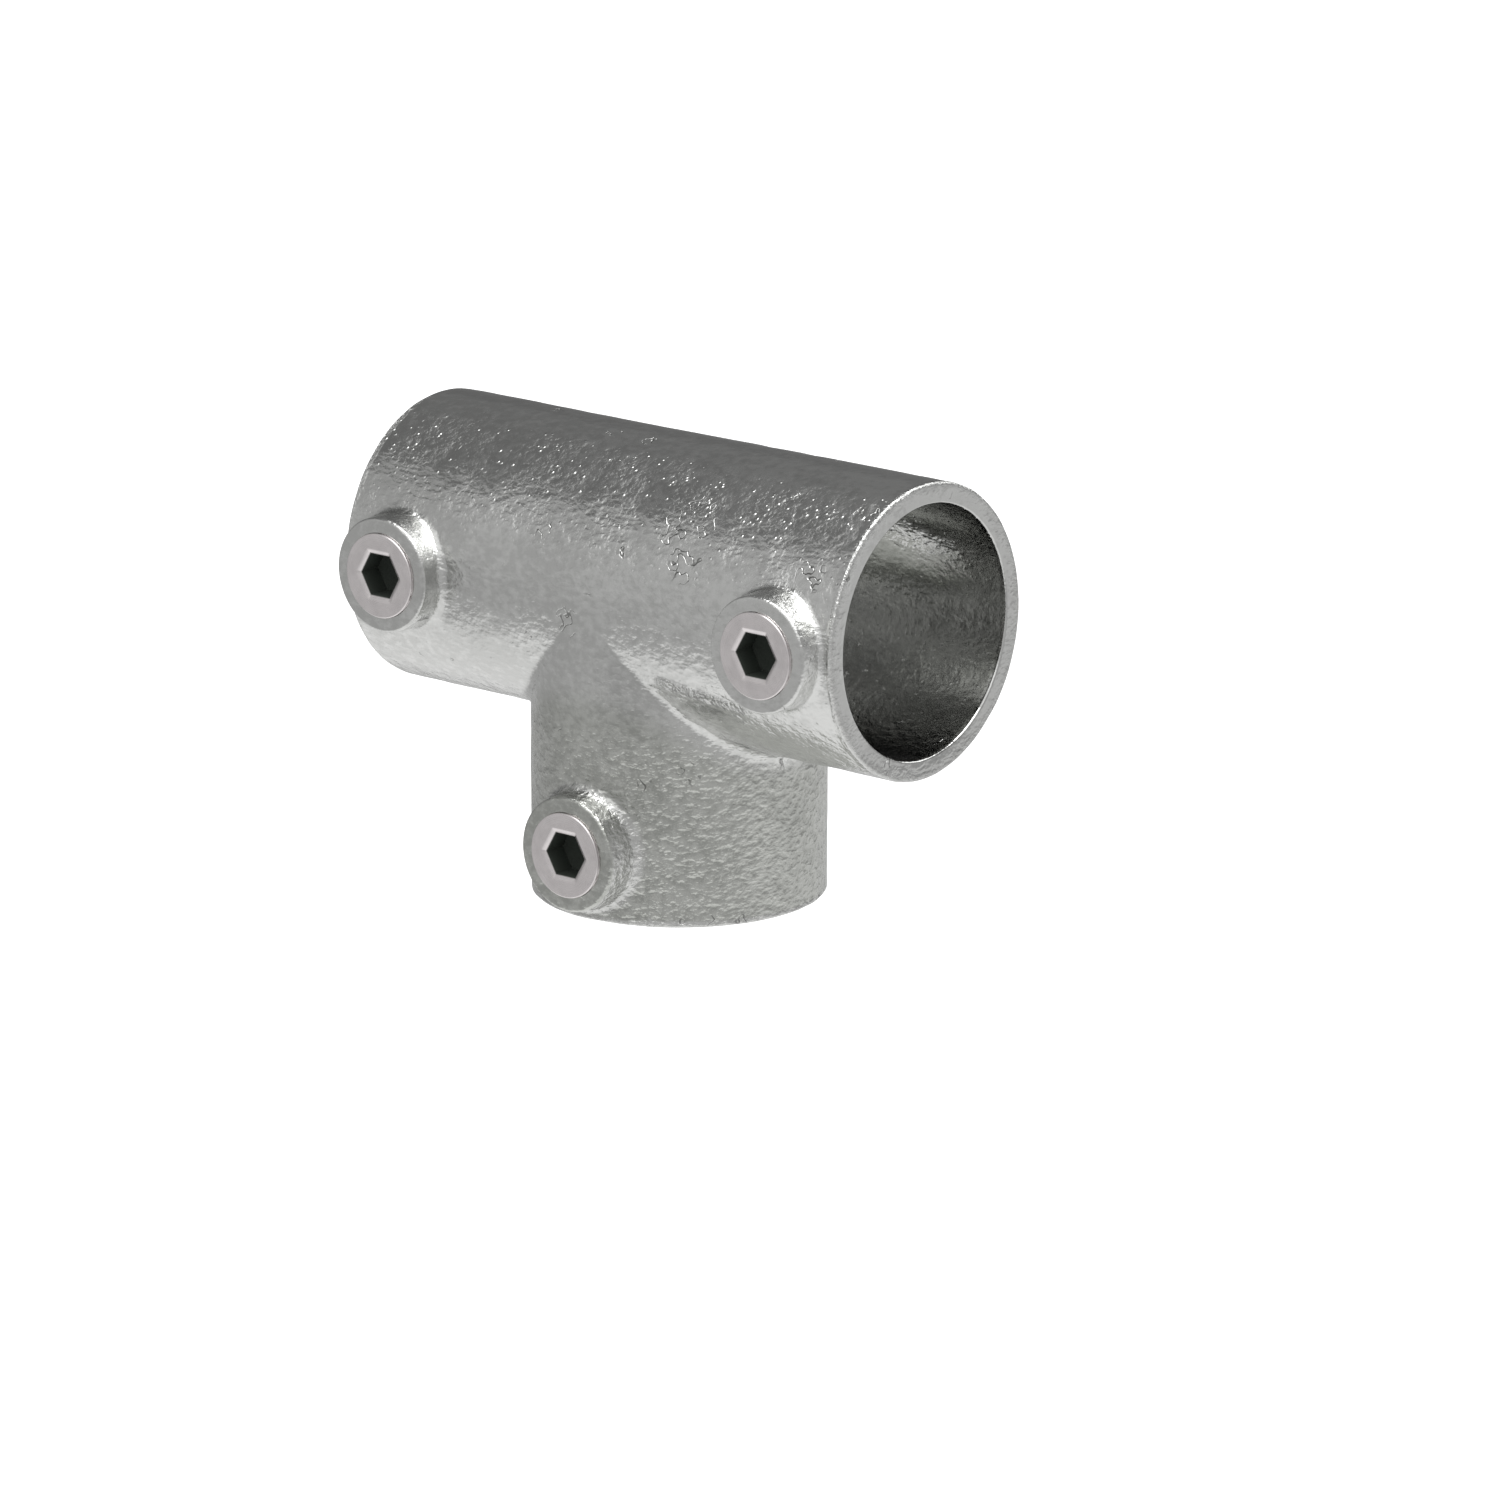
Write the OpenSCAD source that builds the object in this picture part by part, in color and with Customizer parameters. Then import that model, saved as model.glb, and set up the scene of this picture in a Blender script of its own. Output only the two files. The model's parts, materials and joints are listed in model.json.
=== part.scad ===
// Tube clamp tee fitting: one galvanised casting that grips a tube running through it and the end
// of an upright tube below, held by three hexagon socket set screws. Sizes are in millimetres.
// The origin is where the two tube axes cross. X runs along the through tube, Z points up, and the
// screws face -Y. The socket for the upright tube opens downwards.

/* [Tube] */
// Outside diameter of the tube that both sockets take
tube_d = 48.3; // [26.9:0.1:60.3]
// Difference between the diameter of the bores and that of the tube
tube_room = 0.6; // [0.2:0.1:1.6]

/* [Casting] */
// Wall of the round sockets
wall = 4.15; // [3.8:0.05:7]
// Length of the run, the socket that the through tube passes right through
run_length = 120.8; // [100:0.1:200]
// Depth of the stem socket, from its open end to the shoulder that stops the upright tube
stem_depth = 33; // [30:0.1:60]
// Thickness of the shoulder below the bore of the run
shoulder_thick = 3.35; // [2:0.05:8]
// Width of the ledge that the end of the upright tube meets
shoulder_ledge = 4.45; // [2:0.05:6]
// Rounding of the outer edge at the open ends
rim_round = 1.2; // [0.5:0.1:1.4]
// Chamfer at the mouths of the bores
mouth_chamfer = 0.5; // [0.2:0.1:1]
// Radius of the fillet where the stem meets the run
saddle_fillet = 3; // [1.5:0.1:5]

/* [Screw bosses] */
// Diameter of a boss
boss_d = 23; // [20:0.1:26]
// Height of the face of a boss above the skin of its socket
boss_rise = 4.8; // [4.5:0.1:8]
// Distance from the open end of a socket to the side of its boss
boss_margin = 2.2; // [2:0.1:8]
// Rounding of the outer edge of a boss
boss_round = 0.6; // [0.3:0.1:1]
// Radius of the fillet at the foot of a boss on the run
run_boss_fillet = 1.6; // [1:0.1:2.5]
// Radius of the fillet at the foot of the boss on the stem
stem_boss_fillet = 2.4; // [1:0.1:3]

/* [Set screws] */
// Diameter of the screw thread
screw_d = 16.66; // [14:0.01:17]
// Radial room between a screw and its hole
thread_room = 0.05; // [0.02:0.01:0.1]
// Height of a screw above the face of its boss
screw_stand = 0.6; // [0.2:0.1:2]
// Gap between the tip of a screw and the wall of the bore
tip_gap = 0.05; // [0.02:0.01:0.5]
// Chamfer round the driven end of a screw
screw_chamfer = 0.45; // [0.2:0.05:0.8]
// Chamfer round the tip of a screw
tip_chamfer = 1.6; // [0.8:0.1:2]
// Width across the flats of the hexagon socket
key_size = 8.2; // [6:0.1:9]
// Width across the flats of the chamfer at the mouth of the hexagon socket
key_mouth = 9.7; // [9.2:0.1:10.6]
// Depth of the hexagon socket
key_depth = 5.2; // [4.4:0.1:5.4]
// Diameter of the cup in the tip of a screw
cup_d = 9; // [5:0.1:9.6]
// Depth of the cup in the tip of a screw
cup_depth = 2; // [1:0.1:2.2]

/* [Hidden] */
// Radius of both bores, and of the skin round the run
bore_r = (tube_d + tube_room) / 2;
run_r = bore_r + wall;
// The stem is a hair slimmer than the run, so that their two skins cross in one clean curve
stem_slim = 0.03;
stem_r = run_r - stem_slim;
// Hole in the shoulder
core_r = bore_r - shoulder_ledge;
// Places of the shoulder, the open ends and the screws
shoulder_z = -(bore_r + shoulder_thick);
stem_end = shoulder_z - stem_depth;
run_half = run_length / 2;
boss_r = boss_d / 2;
boss_inset = boss_r + boss_margin;
screw_x = run_half - boss_inset;
stem_screw_z = stem_end + boss_inset;
boss_face = run_r + boss_rise;
// A screw reaches from its driven end down to its tip
screw_r = screw_d / 2;
screw_head = boss_face + screw_stand;
screw_tip = bore_r + tip_gap;
screw_length = screw_head - screw_tip;
// The foot of a boss stops short of the rounded rim
end_room = boss_margin - rim_round - 0.1;
// The edges of a fillet are sunk a little into the skins that it joins
sink = 0.05;
// How far a fillet's solid reaches behind the corner that it fills
fillet_root = 1.2;
// Facets across a fillet, round a boss and along each half of the saddle
arc_steps = 3;
boss_steps = 30;
saddle_steps = 24;
// The saddle's fillet fades out towards the sides, and is followed to this angle
saddle_sweep = 80;
// How far a cutting shape reaches past what it cuts
over = 1;
cast_colour = [0.66, 0.67, 0.66];
screw_colour = [0.66, 0.64, 0.64];
$fn = 96;

function unit(v) = v / norm(v);

// Closed section of a fillet: the arc of a ball of radius r at centre c, between the directions
// a and b that point from the two skins to the centre, and one point behind the corner.
function fillet_section(c, r, a, b) =
    let (turn = acos(a * b))
    concat(
        [
            for (i = [0:arc_steps])
                let (k = i / arc_steps)
                c - r * (sin((1 - k) * turn) * a + sin(k * turn) * b) / sin(turn)
        ],
        [c - (r / cos(turn / 2) + fillet_root) * unit(a + b)]
    );

// Fillet of a boss at the angle t round its axis: a ball that rests on a boss of radius br and on
// a socket of radius sr along X. Its radius r shrinks on the side of the open end, at +X.
function boss_fillet_section(t, fillet) =
    let (
        lean = max(0, cos(t)),
        r = fillet + (min(fillet, end_room) - fillet) * lean * lean,
        br = boss_r - sink,
        sr = run_r - sink,
        x = (br + r) * cos(t),
        z = (br + r) * sin(t),
        y = -sqrt((sr + r) ^ 2 - z ^ 2)
    )
    fillet_section([x, y, z], r, [cos(t), 0, sin(t)], [0, y, z] / (sr + r));

// Fillet of the saddle at the angle t round the stem: a ball that rests on the stem and the run.
function saddle_section(t) =
    let (
        r = saddle_fillet,
        sr = stem_r - sink,
        rr = run_r - sink,
        x = (sr + r) * cos(t),
        y = (sr + r) * sin(t),
        z = -sqrt((rr + r) ^ 2 - y ^ 2)
    )
    fillet_section([x, y, z], r, [0, y, z] / (rr + r), [x, y, 0] / (sr + r));

// Solid that passes through a list of closed sections. It joins its ends, or closes them flat.
module loft(sections, ring) {
    m = len(sections);
    n = len(sections[0]);
    spans = ring ? m : m - 1;
    sides = [
        for (i = [0:spans - 1], j = [0:n - 1])
            let (p = i * n, q = ((i + 1) % m) * n, k = (j + 1) % n)
            each [[p + j, q + j, q + k], [p + j, q + k, p + k]]
    ];
    first = [for (j = [0:n - 1]) j];
    last = [for (j = [0:n - 1]) m * n - 1 - j];
    polyhedron([for (s = sections) each s], ring ? sides : concat(sides, [first, last]));
}

// Rod along Z from 0 to its length, with a rounded edge at the top, and at the bottom if asked
module rounded_rod(r, length, edge, both = false) {
    low = both ? edge : 0;
    rotate_extrude() {
        square([r - edge, length]);
        translate([0, low]) square([r, length - edge - low]);
        translate([r - edge, length - edge]) circle(edge);
        if (both) translate([r - edge, edge]) circle(edge);
    }
}

// Boss on a socket along X, with its face towards -Y and the socket's open end at +X
module boss(fillet) {
    start = bore_r / 2;
    rotate([90, 0, 0]) translate([0, 0, start]) rounded_rod(boss_r, boss_face - start, boss_round);
    sections = [
        for (i = [0:boss_steps - 1]) boss_fillet_section(i * 360 / boss_steps, fillet)
    ];
    loft(sections, true);
}

// Boss at the right-hand end of the run
module run_boss() {
    translate([screw_x, 0, 0]) boss(run_boss_fillet);
}

// Boss near the lower end of the stem
module stem_boss() {
    translate([0, 0, stem_screw_z]) rotate([0, 90, 0]) boss(stem_boss_fillet);
}

// Right-hand half of the fillet between the stem and the run
module saddle_half() {
    sections = [
        for (i = [0:saddle_steps])
            saddle_section(saddle_sweep * (2 * i / saddle_steps - 1))
    ];
    loft(sections, false);
}

// Bore of the run, open and chamfered at both ends
module run_bore() {
    flare = bore_r + mouth_chamfer + over;
    rotate([0, 90, 0])
        rotate_extrude()
            polygon([
                [0, -run_half - over],
                [flare, -run_half - over],
                [bore_r, -run_half + mouth_chamfer],
                [bore_r, run_half - mouth_chamfer],
                [flare, run_half + over],
                [0, run_half + over]
            ]);
}

// Blind bore of the stem, chamfered at its mouth, and the hole in its shoulder
module stem_bore() {
    flare = bore_r + mouth_chamfer + over;
    rotate_extrude()
        polygon([
            [0, stem_end - over],
            [flare, stem_end - over],
            [bore_r, stem_end + mouth_chamfer],
            [bore_r, shoulder_z],
            [core_r, shoulder_z],
            [core_r, 0],
            [0, 0]
        ]);
}

// Hole for a set screw, from the face of its boss into the bore
module screw_hole() {
    start = bore_r / 2;
    rotate([90, 0, 0])
        translate([0, 0, start])
            cylinder(r = screw_r + thread_room, h = boss_face + over - start);
}

// The casting: run, stem, bosses and fillets in one piece
module tee_casting() {
    color(cast_colour)
        difference() {
            union() {
                translate([-run_half, 0, 0])
                    rotate([0, 90, 0])
                        rounded_rod(run_r, run_length, rim_round, both = true);
                mirror([0, 0, 1]) rounded_rod(stem_r, -stem_end, rim_round);
                run_boss();
                mirror([1, 0, 0]) run_boss();
                stem_boss();
                saddle_half();
                mirror([1, 0, 0]) saddle_half();
            }
            run_bore();
            stem_bore();
            translate([screw_x, 0, 0]) screw_hole();
            translate([-screw_x, 0, 0]) screw_hole();
            translate([0, 0, stem_screw_z]) screw_hole();
        }
}

// Hexagonal prism or frustum along Z, from 0 to h, by its widths across the flats
module hexagon(flats_low, flats_high, h) {
    cylinder(d1 = flats_low / cos(30), d2 = flats_high / cos(30), h = h, $fn = 6);
}

// Set screw with its axis through the origin, its socket towards -Y and its tip inwards
module set_screw() {
    mouth_deep = (key_mouth - key_size) / 2;
    color(screw_colour)
        rotate([90, 0, 0])
            translate([0, 0, screw_tip])
                difference() {
                    rotate_extrude()
                        polygon([
                            [0, cup_depth],
                            [cup_d / 2, 0],
                            [screw_r - tip_chamfer, 0],
                            [screw_r, tip_chamfer],
                            [screw_r, screw_length - screw_chamfer],
                            [screw_r - screw_chamfer, screw_length],
                            [0, screw_length]
                        ]);
                    translate([0, 0, screw_length - key_depth])
                        hexagon(key_size, key_size, key_depth + over);
                    translate([0, 0, screw_length - mouth_deep])
                        hexagon(key_size, key_mouth + 2 * over, mouth_deep + over);
                }
}

module left_set_screw() {
    translate([-screw_x, 0, 0]) set_screw();
}

module right_set_screw() {
    translate([screw_x, 0, 0]) set_screw();
}

module stem_set_screw() {
    translate([0, 0, stem_screw_z]) set_screw();
}

tee_casting();
left_set_screw();
right_set_screw();
stem_set_screw();
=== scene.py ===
"""Tube clamp tee fitting: a galvanised casting with three hexagon socket set screws.

The script builds the fitting round the packed CAD frame, in metres. X runs along the run, the
socket that a tube passes right through. Z points up, the stem opens downwards, and the screws
face -Y.
"""

import json
import math

import bmesh
import bpy
import numpy as np
from bpy.props import FloatProperty, FloatVectorProperty, IntProperty, PointerProperty
from mathutils import Matrix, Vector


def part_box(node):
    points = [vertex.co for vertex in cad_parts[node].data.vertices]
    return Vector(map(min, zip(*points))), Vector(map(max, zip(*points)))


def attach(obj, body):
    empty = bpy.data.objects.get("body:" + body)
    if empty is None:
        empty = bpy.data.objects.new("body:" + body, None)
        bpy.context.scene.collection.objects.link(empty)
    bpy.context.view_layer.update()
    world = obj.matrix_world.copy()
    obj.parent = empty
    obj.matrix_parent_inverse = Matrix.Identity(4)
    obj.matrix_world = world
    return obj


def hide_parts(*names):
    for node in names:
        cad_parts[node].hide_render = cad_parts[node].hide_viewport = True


bl_info = {
    "name": "Tube clamp tee fitting",
    "version": (1, 0, 0),
    "blender": (4, 5, 0),
    "location": "3D View > Sidebar > Tee fitting",
    "description": "Builds a galvanised tube clamp tee with its three set screws",
    "category": "Add Mesh",
}

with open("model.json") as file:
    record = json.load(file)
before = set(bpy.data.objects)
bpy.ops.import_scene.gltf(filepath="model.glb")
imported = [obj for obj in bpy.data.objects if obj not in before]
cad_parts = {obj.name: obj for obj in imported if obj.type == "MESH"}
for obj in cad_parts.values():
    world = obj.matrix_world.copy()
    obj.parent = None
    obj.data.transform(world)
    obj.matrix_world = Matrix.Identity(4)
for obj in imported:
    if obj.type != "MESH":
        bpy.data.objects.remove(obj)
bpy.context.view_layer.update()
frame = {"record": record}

CASTING_LOW, CASTING_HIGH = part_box("tee_casting")
SCREW_LOW, SCREW_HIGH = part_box("right_set_screw")
MOUNTS = {mount["name"]: mount for mount in frame["record"]["mounts"]}

MM = 0.001
TURN = 2 * math.pi
QUARTER = math.pi / 2

# Facets. A socket has one column for each step round it, and a boss has one for each step of the
# square patch of cells that it stands on.
COLUMNS = 180
PATCH = 30
RING = 4 * PATCH
# Rows of a socket before its patch, and of its bore behind the patch
LEAD_ROWS = 26
BORE_ROWS = 10
# Steps across each of the small forms
RIM_ROWS = 5
END_FACE_ROWS = 3
MOUTH_ROWS = 3
SADDLE_ROWS = 8
WINDOW_ROWS = 4
APRON_ROWS = 5
FOOT_ROWS = 6
BOSS_WALL_ROWS = 4
BOSS_EDGE_ROWS = 5
BOSS_FACE_ROWS = 3
THREAD_ROWS_PER_PITCH = 8
# Room that the patches leave round a boss, on the skin and in the bore
PATCH_ROOM = 2.4 * MM
BORE_PATCH_ROOM = 1.7 * MM
# Points nearer than the first are welded, and shorter edges than the second are dissolved
WELD = 0.002 * MM
SLIVER = 0.001 * MM
# Radial room between a screw and its hole, depth of the hole's thread, and bevel at its mouth
HOLE_ROOM = 0.02 * MM
HOLE_THREAD = 0.8 * MM
HOLE_LIP = 0.04 * MM
# Unevenness of the cast skin: shortest and longest wave in metres, and the number of waves
BROAD_WAVES = ((0.018, 0.032), 24)
SMALL_WAVES = ((0.0045, 0.009), 40)

# Patterns of the zinc: the sizes of their features, and their heights in millimetres
BROAD_SIZE = 16 * MM
MOTTLE_SIZE = 2.2 * MM
PEEL_SIZE, PEEL_HEIGHT = 1.8 * MM, 0.26
GRAIN_SIZE, GRAIN_HEIGHT = 0.6 * MM, 0.08
CRINKLE_SIZE, CRINKLE_HEIGHT = 0.8 * MM, 0.14
PIMPLE_SIZE, PIMPLE_HEIGHT = 1.25 * MM, 0.14
WORM_SIZE, WORM_DEPTH = 2.6 * MM, 0.18
# Rough spots of the zinc, as place and reach in millimetres
BLEMISHES = [((20.5, -21.8, 18.5), 7.5), ((23.2, -25.8, 12.4), 5.0), ((52.4, -24.7, 14.5), 4.0),
             ((-3.8, -28.4, -3.0), 3.6), ((-3.8, -5.2, 28.1), 2.6), ((-12.5, -25.2, 13.5), 2.6),
             ((7.8, -25.9, 12.2), 2.4), ((58.0, -13.5, 25.2), 2.6), ((13.0, -25.4, -32.4), 2.2),
             ((19.9, -20.5, -30.2), 3.0), ((17.8, -22.4, -59.8), 2.4), ((22.9, -17.1, -59.6), 1.8),
             ((25.9, -12.1, -59.8), 2.2)]

# Soft lights, which face the middle of the fitting: place, width and height in metres
KEY_LIGHT = ((0.19, 0.05, 0.85), 0.66, 0.9)
BACK_LIGHT = ((0.11, 0.74, 0.5), 0.66, 0.5)
FLOOR_RADIUS = 5.0
# Camera, fitted to the rims and edges in the photograph: place in metres, yaw, pitch and roll in
# radians, and the focal length for the width of the sensor, both in millimetres
CAMERA_PLACE = (1.00299, -1.19059, 0.39873)
CAMERA_TURNS = (0.6913517, 0.2708215, -0.00138419)
CAMERA_LENS = 201.66
CAMERA_SENSOR = 36


# ----------------------------------------------------------------------
# Sizes and colours that a user may change
# ----------------------------------------------------------------------

def length(name, description, default):
    """A length in metres."""
    return FloatProperty(name=name, description=description, default=default, min=0.0,
                         unit="LENGTH", precision=5)


def share(name, description, default):
    """A factor from 0 to 1."""
    return FloatProperty(name=name, description=description, default=default, min=0.0, max=1.0,
                         subtype="FACTOR")


def power(name, description, default):
    """The power of a light, in watts."""
    return FloatProperty(name=name, description=description, default=default, min=0.0,
                         unit="POWER")


def colour(name, description, default):
    """A colour, as linear red, green and blue."""
    return FloatVectorProperty(name=name, description=description, default=default, size=3,
                               min=0.0, max=1.0, subtype="COLOR")


class CastingSizes(bpy.types.PropertyGroup):
    """Sizes of the casting"""
    skin_radius: length("Skin radius", "Radius of the round skin of run and stem",
                        CASTING_HIGH.z)
    bore_radius: length("Bore radius", "Radius of both bores",
                        MOUNTS["run_bore"]["dims"]["r_mm"] * MM)
    run_half: length("Half of the run", "Distance from the middle of the run to its open end",
                     CASTING_HIGH.x)
    stem_depth: length("Stem", "Distance from the axis of the run to the end of the stem",
                       -CASTING_LOW.z)
    shoulder: length("Shoulder", "Distance from the axis of the run to the ledge in the stem",
                     27.8 * MM)
    core_radius: length("Core radius", "Radius of the hole in the shoulder", 20 * MM)
    rim_round: length("Rim rounding", "Rounding of the outer edge at the open ends", 0.75 * MM)
    mouth: length("Mouth chamfer", "Chamfer at the mouths of the bores", 0.5 * MM)
    saddle: length("Saddle fillet", "Radius of the fillet where the stem meets the run", 3 * MM)
    boss_face: length("Boss face", "Distance from the tube axis to the face of a boss",
                      -CASTING_LOW.y)
    boss_radius: length("Boss radius", "Radius of a boss", 11.5 * MM)
    boss_round: length("Boss rounding", "Rounding of the outer edge of a boss", 0.7 * MM)
    boss_draft: length("Boss draft", "How far a boss narrows from its foot to its face",
                       0.25 * MM)
    boss_inset: length("Boss inset", "Distance from an open end to the axis of its boss",
                       CASTING_HIGH.x - (SCREW_LOW.x + SCREW_HIGH.x) / 2)
    run_foot: length("Run boss fillet", "Fillet at the foot of a boss on the run", 1.6 * MM)
    stem_foot: length("Stem boss fillet", "Fillet at the foot of the boss on the stem",
                      2.4 * MM)
    rim_foot: length("Boss fillet at the rim", "The same fillet on the side of the open end",
                     0.9 * MM)
    waviness: length("Waviness", "Depth of the broad unevenness of the cast skin", 0.16 * MM)
    seed: IntProperty(name="Seed", description="Seed of the unevenness", default=5, min=0)


class ScrewSizes(bpy.types.PropertyGroup):
    """Sizes of the set screws"""
    radius: length("Radius", "Radius of the thread", (SCREW_HIGH.x - SCREW_LOW.x) / 2)
    head: length("Driven end", "Distance from the tube axis to the driven end", -SCREW_LOW.y)
    tip: length("Tip", "Distance from the tube axis to the tip", -SCREW_HIGH.y)
    pitch: length("Pitch", "Travel of the screw in one turn", 1.337 * MM)
    thread: length("Thread depth", "Depth of the thread", 0.856 * MM)
    edge: length("Edge rounding", "Rounding of the driven end", 0.3 * MM)
    point: length("Tip chamfer", "Chamfer round the tip", 1.6 * MM)
    key: length("Key size", "Width of the hexagon socket across its flats", 8.2 * MM)
    key_mouth: length("Key mouth", "Width of the socket's chamfer across its flats", 10.3 * MM)
    key_depth: length("Key depth", "Depth of the hexagon socket", 5.2 * MM)
    cup: length("Cup radius", "Radius of the cup in the tip", 4.5 * MM)
    cup_depth: length("Cup depth", "Depth of the cup in the tip", 2 * MM)


class Finishes(bpy.types.PropertyGroup):
    """Colours of zinc and steel"""
    zinc_light: colour("Bright zinc", "Colour of the bright zinc", (0.66, 0.663, 0.65))
    zinc_dark: colour("Dull zinc", "Colour of the dull zinc", (0.55, 0.553, 0.54))
    # Painted shade: the stem's two tones are darker copies of the zinc
    stem_shaded_bright: colour("Bright zinc of the stem", "The same on the stem", (0.565, 0.574, 0.545))
    stem_shaded_dull: colour("Dull zinc of the stem", "The same on the stem", (0.425, 0.433, 0.408))
    zinc_roughness: share("Zinc roughness", "Mean roughness of the zinc", 0.16)
    peel: share("Orange peel", "Strength of the fine relief of the zinc", 1.0)
    steel: colour("Screw steel", "Colour of the set screws", (0.76, 0.722, 0.722))
    steel_roughness: share("Steel roughness", "Mean roughness of the screws", 0.30)
    # Painted shade: the nearly black colour of the hexagon sockets
    socket: colour("Key socket", "Colour of the film in the hexagon sockets",
                   (0.032, 0.040, 0.032))


class StageSettings(bpy.types.PropertyGroup):
    """Floor and light"""
    floor: colour("Floor", "Colour of the floor", (0.86, 0.86, 0.86))
    below: length("Floor below", "Distance from the axis of the run down to the floor", 0.45)
    distance: share("Distance", "Brightness of the studio in front", 0.58)
    overhead: share("Overhead", "Brightness of the studio overhead", 0.21)
    glow: share("Glow", "Brightness added round the overhead light", 0.8)
    key_light: power("Key light", "Power of the soft light overhead", 6.0)
    back_light: power("Back light", "Power of the soft light behind", 2.4)


def sizes_of(group):
    """The values of a group that are in use: the groups hang on the scene."""
    return getattr(bpy.context.scene, group)


# ----------------------------------------------------------------------
# Surfaces: grids of points that are joined into one mesh
# ----------------------------------------------------------------------

class Sheets:
    """Collects grids of points, rows by columns by three, and joins them into one mesh."""

    def __init__(self):
        self.points = []
        self.quads = []
        self.count = 0

    def add(self, grid, keep=None):
        """Adds a grid with a face between each four neighbours, where keep is true."""
        rows, columns = grid.shape[:2]
        index = np.arange(rows * columns).reshape(rows, columns) + self.count
        quads = np.stack([index[:-1, :-1], index[:-1, 1:], index[1:, 1:], index[1:, :-1]], -1)
        self.points.append(grid.reshape(-1, 3))
        self.quads.append(quads[keep] if keep is not None else quads.reshape(-1, 4))
        self.count += rows * columns

    def mesh(self, name):
        """Welds the grids where they meet, and turns every face outwards."""
        mesh = bpy.data.meshes.new(name)
        mesh.from_pydata(np.concatenate(self.points), [], np.concatenate(self.quads))
        shell = bmesh.new()
        shell.from_mesh(mesh)
        loose = [v for v in shell.verts if not v.link_faces]
        bmesh.ops.delete(shell, geom=loose, context="VERTS")
        bmesh.ops.remove_doubles(shell, verts=shell.verts, dist=WELD)
        bmesh.ops.dissolve_degenerate(shell, edges=shell.edges, dist=SLIVER)
        bmesh.ops.recalc_face_normals(shell, faces=shell.faces)
        if shell.calc_volume(signed=True) < 0:
            bmesh.ops.reverse_faces(shell, faces=shell.faces)
        open_edges = sum(1 for e in shell.edges if len(e.link_faces) != 2)
        shell.to_mesh(mesh)
        shell.free()
        if open_edges:
            raise RuntimeError(f"{name} has {open_edges} open edges")
        return mesh


def vertex_places(mesh):
    """The places of a mesh's vertices, one row for each."""
    place = np.empty(len(mesh.vertices) * 3)
    mesh.vertices.foreach_get("co", place)
    return place.reshape(-1, 3)


def store(mesh, **values):
    """Stores one number for each vertex under each of the names."""
    for name, value in values.items():
        mesh.attributes.new(name, "FLOAT", "POINT").data.foreach_set("value", value)


def points(x, y, z):
    """Stacks three coordinates, each spread to the shape of the others, into points."""
    return np.stack(np.broadcast_arrays(x, y, z), -1).astype(float)


def skin(x, angle, radius):
    """Round skin of a socket that opens towards +X: the angle runs from the boss side, -Y,
    towards +Z, so the point is (x, -radius cos angle, radius sin angle)."""
    return points(x, -radius * np.cos(angle), radius * np.sin(angle))


def ease(value, low, high):
    """Rises smoothly from 0 at low to 1 at high: 3 k squared minus 2 k cubed."""
    k = np.clip((value - low) / (high - low), 0, 1)
    return k * k * (3 - 2 * k)


def climb(steps, high=1.0):
    """A column of even steps up to high, without the start: high / steps, 2 high / steps, ..."""
    return np.linspace(0, high, steps + 1)[1:, None]


def arc(centre, start, end, radius, steps):
    """Rows of a ball's arc: centre minus radius times a direction that turns evenly from start
    to end, both unit vectors, one pair for each column."""
    k = np.linspace(0, 1, steps + 1)[:, None, None]
    turn = np.arccos(np.clip(np.sum(start * end, -1), -1, 1))[None, :, None]
    safe = np.maximum(turn, 1e-6)
    a = np.where(turn > 1e-5, np.sin((1 - k) * safe) / np.sin(safe), 1 - k)
    b = np.where(turn > 1e-5, np.sin(k * safe) / np.sin(safe), k)
    return centre[None] - np.reshape(radius, (1, -1, 1)) * (a * start[None] + b * end[None])


def rows_between(first, last, steps, closed=True):
    """Rows of points that run straight from the row first to the row last."""
    k = np.linspace(0, 1, steps + 1)[:, None, None]
    rows = first[None] * (1 - k) + last[None] * k
    return rows if closed else rows[1:]


def put(name, data):
    """Puts a new object in the scene."""
    thing = bpy.data.objects.new(name, data)
    bpy.context.scene.collection.objects.link(thing)
    return thing


def finish_piece(name, mesh, material, body, replaced, sharp=35):
    """Puts a finished mesh in the scene as a piece: smooth, with sharp edges by angle."""
    mesh.shade_smooth()
    mesh.set_sharp_from_angle(angle=math.radians(sharp))
    mesh.materials.append(material)
    piece = put(name, mesh)
    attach(piece, body)
    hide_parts(replaced)


# ----------------------------------------------------------------------
# Casting
# ----------------------------------------------------------------------

def thread_tooth(y, angle, pitch):
    """Right-handed thread round an axis along Y: 0 at a crest and 1 at a root. Its phase is
    y / pitch plus the share of a turn, and the flanks are eased straight lines."""
    phase = np.mod(y / pitch + angle / TURN, 1)
    return ease(np.abs(2 * phase - 1), 0.2, 0.8)


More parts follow.
